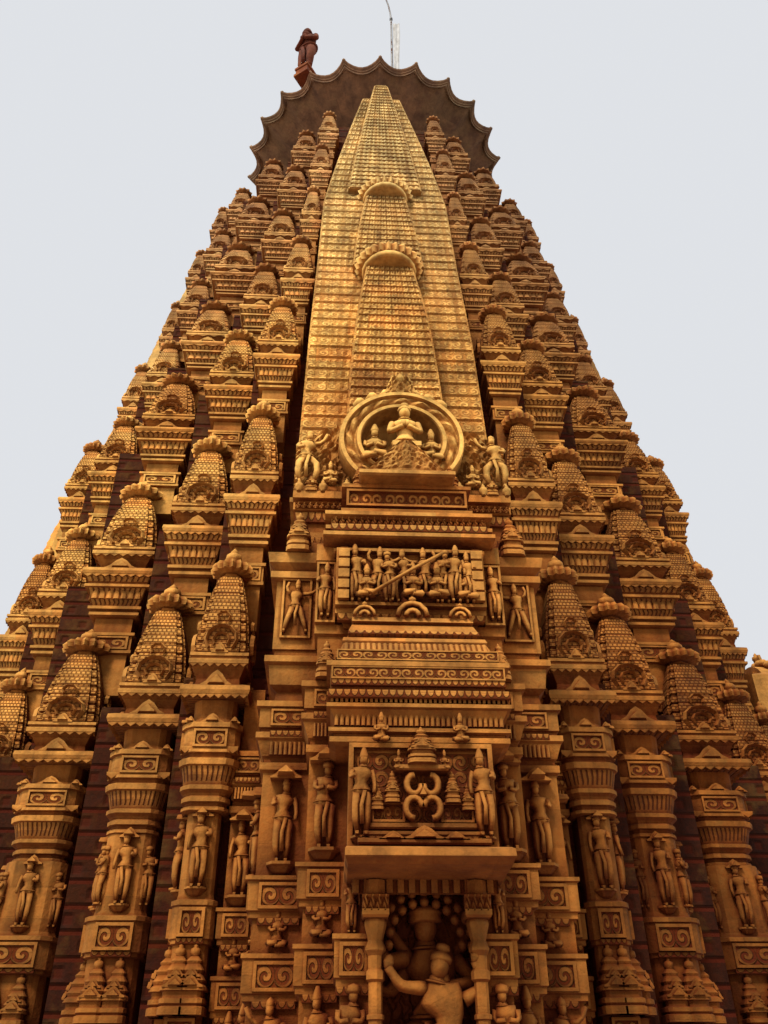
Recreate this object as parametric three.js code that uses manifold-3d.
// A sandstone temple tower: a hollow sanctum under a curved spire, with five strings of
// small spires in each quarter, four carved bands on the middles of the sides, and a scalloped
// crown stone. Millimetres, +Z up, front towards -Y, origin at the middle of the base.
import * as THREE from 'three';
import { mergeVertices } from 'three/addons/utils/BufferGeometryUtils.js';
import Module from 'manifold-3d';

const wasm = await Module();
wasm.setup();

// Heights above the ground
const FLOOR = 450;
const WALL_TOP = 5520;
const TIER_BASES = [5520, 8230, 10970, 13310, 15490, 17470, 19320];
const TOP_RISE = 1750;
const NECK_BASE = 20600;
const CROWN_RIM = 23290;
const TOWER_TOP = 27400;

// Each tier of the spire is the plan of the walls shrunk by one of these
const TIER_SHRINK = [1, 0.934, 0.878, 0.79, 0.726, 0.674, 0.62];
const NECK_SHRINK = 0.55;

// Half the width of a spire's foot, tier by tier, in the narrow, middle and corner strings
const NARROW = [290, 285, 280, 235, 172, 190, 190];
const MIDDLE = [340, 350, 330, 295, 290, 275, 255];
const CORNER = [390, 410, 400, 380, 380, 330, 280];

// Strings of small spires in a quarter, from the middle of the front round to the middle of
// the side: the centre on the wall plan, the spires, and half the width of the pillar below
const STRINGS = [
  { x: 1884, y: 6116, halves: NARROW, post: 200, wall: 5960 },
  { x: 2716, y: 5260, halves: MIDDLE, post: 310, wall: 5100 },
  { x: 4000, y: 4000, halves: CORNER, post: 430, wall: 3800 },
  { x: 5260, y: 2716, halves: MIDDLE, post: 310, wall: 5100 },
  { x: 6116, y: 1884, halves: NARROW, post: 200, wall: 5960 },
];

// Corners of the stepped wall plan behind the strings, one quarter of it
const PLAN_STEPS = [
  [2300, 5960],
  [3360, 5100],
  [3920, 3920],
  [5100, 3360],
  [5960, 2300],
];

// How far the base course reaches past the walls, and past each step of a bay
const BASE_GROW = 620;
const BASE_STEP = 160;

// Sanctum and doorway
const SANCTUM_HALF = 2500;
const DOOR_HALF = 500;
const DOOR_HEAD = 2750;

// Bay in the middle of each side: half widths and fronts of its three steps
const BAY_HALF = [1250, 850, 570];
const BAY_FRONT = [7460, 7900, 8320];
const BAY_TOP = [5900, 4000, 2940];
const BAY_BACK = 5960;
const PLINTH_TOP = 1400;
const PLINTH_REACH = 60;

// Eaves of a bay that lean back: half width, front at the foot and at the top, foot and top
const EAVES = [
  [560, 8900, 8420, 2940, 3160],
  [630, 8300, 7900, 4600, 5250],
];

// Panels and cornices of a bay: half width, front, foot and top
const BAY_COURSES = [
  [545, 8380, 3160, 3930],
  [690, 8420, 3930, 4120],
  [640, 8320, 4120, 4380],
  [700, 8420, 4380, 4600],
  [690, 7880, 5250, 5960],
  [740, 8060, 5960, 6400],
  [1250, 7560, 5900, 6150],
  [640, 7800, 6400, 7000],
  [1180, 7350, 6150, 7200],
];
const NICHE_HALF = 340;
const NICHE_DEPTH = 260;
const NICHE_FOOT = 1400;
const NICHE_HEAD = 2940;

// Carved band above each bay
const BAND_HALF = 1240;
const BAND_FRONT = 6640;
const BAND_FOOT = 7200;
const BAND_SHOULDER = 21050;
const BAND_BEND = 15600;
const MEDALLION = { radius: 640, height: 7850, front: 7400, back: 6500 };

// Spires in relief on a band, one above another: the heights of the rings, where its curve
// starts and ends, half width, front and back on the wall plan, share drawn in and its power
const RELIEFS = [
  {
    rings: [7200, 8230, 9600, 10970, 12000, 13000],
    foot: 7200, top: 13000, half: 640, front: 7120, draw: 0.5, power: 2.2,
  },
  {
    rings: [13000, 14400, 15490, 16000],
    foot: 11000, top: 16000, half: 620, front: 6900, draw: 0.5, power: 2.2,
  },
  {
    rings: [16000, 17470, 19320, 20600, 21750],
    foot: 15900, top: 21750, half: 700, front: 6820, draw: 0.78, power: 1.1,
  },
];
const RELIEF_BACK = 6400;

// Ribbed caps on the lower two spires in relief: radius, foot, height and how far back from
// the face of the spire its middle lies
const RELIEF_CAPS = [
  { radius: 500, foot: 12600, height: 500, inset: 200 },
  { radius: 520, foot: 15600, height: 420, inset: 300 },
];

// Crown
const CROWN_RADIUS = 3580;
const CUSPS = 24;
const SCALLOP_DEPTH = 0.075;

const POLE = { x: 400, y: -2200, top: 29400, radius: 30 };
const PENNANT = { width: 230, length: 2900, drop: 1500 };

// Room left between a cut stone and the one beside it
const JOINT = 0.3;

const ochre = { color: 0xc98a3c, roughness: 0.9, metalness: 0 };
const paleOchre = { color: 0xd9a755, roughness: 0.9, metalness: 0 };
const redStone = { color: 0x9a5a36, roughness: 0.92, metalness: 0 };
const crownStone = { color: 0x6e5148, roughness: 0.92, metalness: 0 };
const statueStone = { color: 0x5c2a26, roughness: 0.8, metalness: 0 };
const poleMetal = { color: 0x6b6b6b, roughness: 0.5, metalness: 0.7 };
const cloth = { color: 0xc9ccd2, roughness: 0.95, metalness: 0 };

const temple = new THREE.Group();

function addMesh(name, geometry, finish) {
  const mesh = new THREE.Mesh(geometry, new THREE.MeshStandardMaterial(finish));
  mesh.name = name;
  temple.add(mesh);
}

// Closed mesh to solid and back, for joining and cutting
function toSolid(geometry) {
  const bare = geometry.clone();
  bare.deleteAttribute('normal');
  bare.deleteAttribute('uv');
  const merged = mergeVertices(bare, 1e-3);
  return new wasm.Manifold(new wasm.Mesh({
    numProp: 3,
    vertProperties: new Float32Array(merged.attributes.position.array),
    triVerts: new Uint32Array(merged.index.array),
  }));
}

function toGeometry(solid) {
  const mesh = solid.getMesh();
  const geometry = new THREE.BufferGeometry();
  geometry.setAttribute('position', new THREE.BufferAttribute(mesh.vertProperties, 3));
  geometry.setIndex(new THREE.BufferAttribute(mesh.triVerts, 1));
  return geometry;
}

function joinAll(solids) {
  let whole = solids[0];
  for (const next of solids.slice(1)) {
    whole = whole.add(next);
  }
  return whole;
}

// Upright block between two corners
function block(x0, x1, y0, y1, z0, z1) {
  const box = new THREE.BoxGeometry(x1 - x0, y1 - y0, z1 - z0);
  box.translate((x0 + x1) / 2, (y0 + y1) / 2, (z0 + z1) / 2);
  return box;
}

function blockSolid(x0, x1, y0, y1, z0, z1) {
  return toSolid(block(x0, x1, y0, y1, z0, z1));
}

// Turned shape about the vertical axis
function turned(profile, segments) {
  const points = profile.map(([radius, height]) => new THREE.Vector2(radius, height));
  const lathe = new THREE.LatheGeometry(points, segments, Math.PI / segments);
  lathe.rotateX(Math.PI / 2);
  return lathe;
}

// Square pier round an upright middle line. A ring is [half width, height, back], and the
// side that faces the tower runs back to that distance from the tower's axis.
function pier(rings, x, y, backOnX, backOnY) {
  const shape = new THREE.BoxGeometry(1, 1, 1, 1, 1, rings.length - 1);
  const position = shape.attributes.position;
  for (let i = 0; i < position.count; i += 1) {
    const [half, height, back] = rings[Math.round((position.getZ(i) + 0.5) * (rings.length - 1))];
    const sideX = Math.sign(position.getX(i));
    const sideY = Math.sign(position.getY(i));
    const innerX = backOnX && sideX !== Math.sign(x);
    const innerY = backOnY && sideY !== Math.sign(y);
    position.setXYZ(
      i,
      innerX ? Math.sign(x) * back : x + sideX * half,
      innerY ? Math.sign(y) * back : y + sideY * half,
      height,
    );
  }
  return toSolid(shape);
}

// Stepped plan of the walls, shrunk, as a closed shape
function planShape(shrink, grow) {
  const quarter = [];
  let inner = 0;
  for (const [x, y] of PLAN_STEPS) {
    quarter.push([inner, y * shrink + grow]);
    quarter.push([x * shrink + grow, y * shrink + grow]);
    inner = x * shrink + grow;
  }
  quarter.push([inner, 0]);
  const steps = quarter.slice(1, -1);
  const right = steps.map(([x, y]) => [x, y]);
  const outline = [
    ...right,
    ...right.slice().reverse().map(([x, y]) => [x, -y]),
    ...right.map(([x, y]) => [-x, -y]),
    ...right.slice().reverse().map(([x, y]) => [-x, y]),
  ];
  return new THREE.Shape(outline.map(([x, y]) => new THREE.Vector2(x, y)));
}

function planBlock(shrink, grow, z0, z1) {
  const slab = new THREE.ExtrudeGeometry(planShape(shrink, grow), { depth: z1 - z0, bevelEnabled: false });
  slab.translate(0, 0, z0);
  return toSolid(slab);
}

// Solid that the strings, bays and bands are fitted against, with a joint all round
function coreEnvelope() {
  const solids = [planBlock(1, JOINT, FLOOR, WALL_TOP + JOINT)];
  for (let tier = 1; tier < TIER_BASES.length; tier += 1) {
    solids.push(planBlock(TIER_SHRINK[tier], JOINT, TIER_BASES[tier - 1], TIER_BASES[tier] + JOINT));
  }
  solids.push(planBlock(NECK_SHRINK, JOINT, TIER_BASES[6], NECK_BASE + JOINT));
  return joinAll(solids);
}

const envelope = coreEnvelope();

// Walls of the sanctum, split beside and over the doorway in the back
function addWalls() {
  const shell = planBlock(1, 0, FLOOR, WALL_TOP);
  const reach = 7000;
  const s = SANCTUM_HALF;
  const pieces = {
    wall_front: blockSolid(-reach, reach, -reach, -s, FLOOR, WALL_TOP),
    wall_left: blockSolid(-reach, -s, -s, s, FLOOR, WALL_TOP),
    wall_right: blockSolid(s, reach, -s, s, FLOOR, WALL_TOP),
    wall_back_left: blockSolid(-reach, -DOOR_HALF, s, reach, FLOOR, WALL_TOP),
    wall_back_right: blockSolid(DOOR_HALF, reach, s, reach, FLOOR, WALL_TOP),
    wall_over_door: blockSolid(-DOOR_HALF, DOOR_HALF, s, reach, DOOR_HEAD, WALL_TOP),
  };
  for (const [name, piece] of Object.entries(pieces)) {
    addMesh(name, toGeometry(shell.intersect(piece)), redStone);
  }
}

// Three blocks of the spire's core, solid over the flat ceiling of the sanctum
function addCore() {
  const groups = [['core_lower', 1, 2], ['core_middle', 3, 4], ['core_upper', 5, 6]];
  for (const [name, first, last] of groups) {
    const solids = [];
    for (let tier = first; tier <= last; tier += 1) {
      solids.push(planBlock(TIER_SHRINK[tier], 0, TIER_BASES[tier - 1], TIER_BASES[tier]));
    }
    if (last === 6) {
      solids.push(planBlock(NECK_SHRINK, 0, TIER_BASES[6], NECK_BASE));
    }
    addMesh(name, toGeometry(joinAll(solids)), redStone);
  }
}

// One small spire from its foot up, with its ribbed cap and bud reduced to their outline
function spireRings(half, foot, rise, back) {
  return [
    [half, foot + JOINT, back],
    [half * 0.92, foot + rise * 0.22, back],
    [half * 0.45, foot + rise * 0.43, back],
    [half * 0.7, foot + rise * 0.5, back],
    [half * 0.06, foot + rise * 0.64, back],
  ];
}

// The shaft under a spire with its flared capital and its cornice
function shaftRings(half, foot, below, back) {
  return [
    [half * 0.78, foot - below * 0.75, back],
    [half * 0.78, foot - below * 0.24, back],
    [half * 1.22, foot - below * 0.1, back],
    [half * 1.1, foot + JOINT, back],
  ];
}

// Lowest tier of a string: a pillar against the wall, with its base, shaft, capital and cornice
function pillarRings(half, post, foot, back) {
  return [
    [post * 1.2, FLOOR, back],
    [post * 1.2, FLOOR + 650, back],
    [post * 1.05, FLOOR + 1050, back],
    [post * 1.05, 2300, back],
    [post * 0.85, 2900, back],
    [post * 0.85, 4100, back],
    [half * 0.95, 4450, back],
    [half * 0.98, 4830, back],
    [half * 0.75, 4900, back],
    [half * 1.22, foot - 300, back],
    [half * 1.1, foot + JOINT, back],
  ];
}

// A string leans back tier by tier, each shaft standing behind the spire below it
function stringSolid(place, sx, sy) {
  const backOnX = place.x >= place.y;
  const backOnY = place.y >= place.x;
  const solids = TIER_BASES.map((foot, tier) => {
    const shrink = TIER_SHRINK[tier];
    const behind = (tier < 6 ? TIER_SHRINK[tier + 1] : NECK_SHRINK) * Math.max(place.x, place.y);
    const wall = place.wall * shrink + JOINT;
    const rise = tier < 6 ? TIER_BASES[tier + 1] - foot : TOP_RISE;
    const half = place.halves[tier];
    const below = tier > 0 ? foot - TIER_BASES[tier - 1] : 0;
    const lower = tier > 0
      ? shaftRings(half, foot, below, wall)
      : pillarRings(half, place.post, foot, wall);
    const rings = lower.concat(spireRings(half, foot, rise, behind));
    return pier(rings, sx * place.x * shrink, sy * place.y * shrink, backOnX, backOnY);
  });
  return joinAll(solids).subtract(envelope);
}

function addStrings() {
  const quarters = [
    ['front_left', -1, -1],
    ['front_right', 1, -1],
    ['back_left', -1, 1],
    ['back_right', 1, 1],
  ];
  for (const [quarter, sx, sy] of quarters) {
    STRINGS.forEach((place, index) => {
      addMesh(`spires_${quarter}_${index + 1}`, toGeometry(stringSolid(place, sx, sy)), ochre);
    });
  }
}

// Bay of one side, seen as the front one: steps of wall on a plinth, eaves, panels and cornices
function baySolid() {
  const back = BAY_BACK - 400;
  const level = (half, front, z0, z1) => blockSolid(-half, half, -front, -back, z0, z1);
  const steps = BAY_HALF.flatMap((half, i) => [
    level(half + PLINTH_REACH, BAY_FRONT[i] + PLINTH_REACH, FLOOR, PLINTH_TOP),
    level(half, BAY_FRONT[i], FLOOR, BAY_TOP[i]),
  ]);
  const eaves = EAVES.map(([half, low, high, z0, z1]) => (
    toSolid(squareSlope(half, low, high, back, z0, z1))
  ));
  const courses = BAY_COURSES.map((course) => level(...course));
  return joinAll([...steps, ...eaves, ...courses]).subtract(envelope);
}

// Block whose front leans back from its foot to its top
function squareSlope(half, lowFront, highFront, back, z0, z1) {
  const side = new THREE.Shape([
    new THREE.Vector2(-back, z0),
    new THREE.Vector2(-lowFront, z0),
    new THREE.Vector2(-lowFront, z0 + (z1 - z0) * 0.3),
    new THREE.Vector2(-highFront, z1),
    new THREE.Vector2(-back, z1),
  ]);
  const slope = new THREE.ExtrudeGeometry(side, { depth: 2 * half, bevelEnabled: false });
  slope.applyMatrix4(new THREE.Matrix4().set(
    0, 0, 1, -half,
    1, 0, 0, 0,
    0, 1, 0, 0,
    0, 0, 0, 1,
  ));
  return slope;
}

function turnedAboutAxis(solid, quarterTurns) {
  const geometry = toGeometry(solid);
  geometry.rotateZ((quarterTurns * Math.PI) / 2);
  return geometry;
}

const SIDES = [['front', 0], ['right', 1], ['back', 2], ['left', 3]];

function addBays() {
  const bay = baySolid();
  const narrowFront = BAY_FRONT[2];
  const niche = blockSolid(
    -NICHE_HALF, NICHE_HALF, -narrowFront - 10, -narrowFront + NICHE_DEPTH, NICHE_FOOT, NICHE_HEAD,
  );
  const nicheBay = bay.subtract(niche);
  for (const [side, turns] of SIDES) {
    if (side !== 'back') {
      addMesh(`bay_${side}`, turnedAboutAxis(nicheBay, turns), ochre);
    }
  }
  const reach = 9500;
  const depth = BAY_BACK - 500;
  const left = bay.intersect(blockSolid(-reach, -DOOR_HALF, -reach, -depth, FLOOR, DOOR_HEAD));
  const right = bay.intersect(blockSolid(DOOR_HALF, reach, -reach, -depth, FLOOR, DOOR_HEAD));
  const over = bay.intersect(blockSolid(-reach, reach, -reach, 0, DOOR_HEAD, BAND_FOOT + 100));
  addMesh('bay_back_left', turnedAboutAxis(right, 2), ochre);
  addMesh('bay_back_right', turnedAboutAxis(left, 2), ochre);
  addMesh('bay_over_door', turnedAboutAxis(over, 2), ochre);
}

// Shrink of the plan at a height, straight between the tiers
function shrinkAt(height) {
  const heights = [0, ...TIER_BASES, 21600, 23200];
  const values = [1, ...TIER_SHRINK, 0.55, 0.47];
  for (let i = 1; i < heights.length; i += 1) {
    if (height <= heights[i]) {
      const t = (height - heights[i - 1]) / (heights[i] - heights[i - 1]);
      return values[i - 1] + (values[i] - values[i - 1]) * t;
    }
  }
  return values[values.length - 1];
}

// Upright slab with a ring at each of some heights, its half width, front and back by formula
function curvedSlab(heights, halfAt, frontAt, backAt) {
  const slab = new THREE.BoxGeometry(1, 1, 1, 1, 1, heights.length - 1);
  const position = slab.attributes.position;
  for (let i = 0; i < position.count; i += 1) {
    const height = heights[Math.round((position.getZ(i) + 0.5) * (heights.length - 1))];
    const depth = position.getY(i) < 0 ? -frontAt(height) : -backAt(height);
    position.setXYZ(i, Math.sign(position.getX(i)) * halfAt(height), depth, height);
  }
  return toSolid(slab);
}

// Half width of the whole band: nearly straight, then drawn in to a blunt tip
function bandHalf(height) {
  const t = Math.max(0, (height - BAND_BEND) / (BAND_SHOULDER - BAND_BEND));
  const straight = (Math.min(height, BAND_BEND) - BAND_FOOT) / (BAND_BEND - BAND_FOOT);
  return BAND_HALF - 90 * straight - 720 * t ** 1.1;
}

// Half width of a spire in relief: bulging below and drawn in towards its cap
function reliefHalf(height, { foot, top, half, draw, power }) {
  return half * (1 - draw * ((height - foot) / (top - foot)) ** power);
}

// Curved band of one side with the spires in relief one above another, and the medallion
function bandSolid() {
  const outer = curvedSlab(
    [BAND_FOOT, ...TIER_BASES.slice(1), NECK_BASE, BAND_SHOULDER],
    bandHalf,
    (height) => BAND_FRONT * shrinkAt(height),
    (height) => PLAN_STEPS[0][1] * shrinkAt(height) + JOINT,
  );
  const reliefs = RELIEFS.map((relief) => curvedSlab(
    relief.rings,
    (height) => reliefHalf(height, relief),
    (height) => relief.front * shrinkAt(height),
    (height) => RELIEF_BACK * shrinkAt(height),
  ));
  const caps = RELIEF_CAPS.map(({ radius, foot, height, inset }, i) => {
    const cap = turned([
      [0, foot],
      [radius * 0.8, foot],
      [radius, foot + height * 0.35],
      [radius * 0.85, foot + height * 0.8],
      [0, foot + height],
    ], 16);
    cap.translate(0, inset - RELIEFS[i].front * shrinkAt(foot), 0);
    return toSolid(cap);
  });
  // A cylinder's own axis already points out of the face
  const { radius, height: middle, front, back } = MEDALLION;
  const medallion = new THREE.CylinderGeometry(radius, radius, front - back, 16);
  medallion.translate(0, -(front + back) / 2, middle);
  return joinAll([outer, ...reliefs, ...caps, toSolid(medallion)]);
}

function addBands() {
  const band = bandSolid();
  for (const [side, turns] of SIDES) {
    addMesh(`band_${side}`, turnedAboutAxis(band, turns), paleOchre);
  }
}

// Base course that everything stands on, with the floor of the sanctum as its top
function addBase() {
  const course = planBlock(1, BASE_GROW, 0, FLOOR);
  const arms = BAY_HALF.flatMap((width, i) => {
    const half = width + BASE_STEP;
    const reach = BAY_FRONT[i] + BASE_STEP;
    return [
      blockSolid(-half, half, -reach, reach, 0, FLOOR),
      blockSolid(-reach, reach, -half, half, 0, FLOOR),
    ];
  });
  addMesh('base_course', toGeometry(joinAll([course, ...arms])), redStone);
}

// Crown stone: a wide disc with a rim of hollow scallops that meet in cusps
function scallopedDisc(profile) {
  const perScallop = 3;
  const segments = CUSPS * perScallop;
  const points = profile.map(([radius, height]) => new THREE.Vector2(radius, height));
  const lathe = new THREE.LatheGeometry(points, segments);
  lathe.rotateX(Math.PI / 2);
  const position = lathe.attributes.position;
  for (let i = 0; i < position.count; i += 1) {
    const x = position.getX(i);
    const y = position.getY(i);
    const radius = Math.hypot(x, y);
    const turn = (Math.atan2(x, -y) / (2 * Math.PI)) * CUSPS;
    const between = turn - Math.floor(turn + 1e-4);
    const hollow = 4 * between * (1 - between);
    const depth = SCALLOP_DEPTH * hollow * (radius / CROWN_RADIUS) ** 2;
    position.setXY(i, x * (1 - depth), y * (1 - depth));
  }
  return lathe;
}

function crownDisc() {
  const r = CROWN_RADIUS;
  return scallopedDisc([
    [0, CROWN_RIM - 900],
    [1750, CROWN_RIM - 900],
    [2500, CROWN_RIM - 560],
    [r - 120, CROWN_RIM - 110],
    [r, CROWN_RIM],
    [r - 140, CROWN_RIM + 90],
    [2500, CROWN_RIM + 500],
    [1600, CROWN_RIM + 760],
    [0, CROWN_RIM + 760],
  ]);
}

function addCrown() {
  addMesh('neck', turned([
    [0, NECK_BASE],
    [1900, NECK_BASE],
    [1700, NECK_BASE + 900],
    [1750, CROWN_RIM - 900],
    [0, CROWN_RIM - 900],
  ], 24), redStone);
  addMesh('crown_disc', crownDisc(), crownStone);
  addMesh('cap_stone', turned([
    [0, CROWN_RIM + 760],
    [1250, CROWN_RIM + 760],
    [1850, CROWN_RIM + 1120],
    [1500, CROWN_RIM + 1480],
    [800, CROWN_RIM + 1800],
    [0, CROWN_RIM + 1800],
  ], 24), crownStone);
  addMesh('finial', turned([
    [0, CROWN_RIM + 1800],
    [380, CROWN_RIM + 1800],
    [320, CROWN_RIM + 2000],
    [620, CROWN_RIM + 2450],
    [520, CROWN_RIM + 2850],
    [200, CROWN_RIM + 3050],
    [330, CROWN_RIM + 3250],
    [130, CROWN_RIM + 3450],
    [0, TOWER_TOP],
  ], 16), crownStone);
}

// Standing stone figure on a cusp of the crown, in plain outline
function addRimFigure() {
  const turn = -0.58;
  const reach = CROWN_RADIUS - 130;
  const x = Math.sin(turn) * reach;
  const y = -Math.cos(turn) * reach;
  const foot = CROWN_RIM + 40;
  const figure = turned([
    [0, foot],
    [230, foot],
    [200, foot + 380],
    [220, foot + 420],
    [170, foot + 520],
    [220, foot + 1250],
    [180, foot + 1600],
    [280, foot + 2000],
    [110, foot + 2120],
    [150, foot + 2260],
    [120, foot + 2420],
    [0, foot + 2560],
  ], 10);
  figure.translate(x, y, 0);
  const seat = crownDisc();
  seat.translate(0, 0, JOINT);
  addMesh('rim_figure', toGeometry(toSolid(figure).subtract(toSolid(seat))), statueStone);
}

// Pole on the crown, bent at its tip, and the limp pennant that hangs from it
function addFlag() {
  const { x, y, top, radius } = POLE;
  const section = new THREE.Shape();
  section.absarc(0, 0, radius, 0, 2 * Math.PI);
  const path = new THREE.CatmullRomCurve3([
    new THREE.Vector3(x, y, CROWN_RIM + 300),
    new THREE.Vector3(x, y, top - 3000),
    new THREE.Vector3(x, y, top - 1500),
    new THREE.Vector3(x - 30, y, top - 600),
    new THREE.Vector3(x - 160, y, top),
  ]);
  const pole = new THREE.ExtrudeGeometry(section, {
    steps: 8, curveSegments: 3, bevelEnabled: false, extrudePath: path,
  });
  const seat = crownDisc();
  seat.translate(0, 0, JOINT);
  addMesh('flag_pole', toGeometry(toSolid(pole).subtract(toSolid(seat))), poleMetal);
  const { width, length, drop } = PENNANT;
  // The pole has twelve flats, and the hoist lies against one of them
  const left = x + radius * Math.cos(Math.PI / 12) + JOINT;
  const high = top - drop;
  addMesh('pennant', block(left, left + width, y - 30, y + 30, high - length, high), cloth);
}

addBase();
addWalls();
addCore();
addStrings();
addBays();
addBands();
addCrown();
addRimFigure();
addFlag();

export default temple;
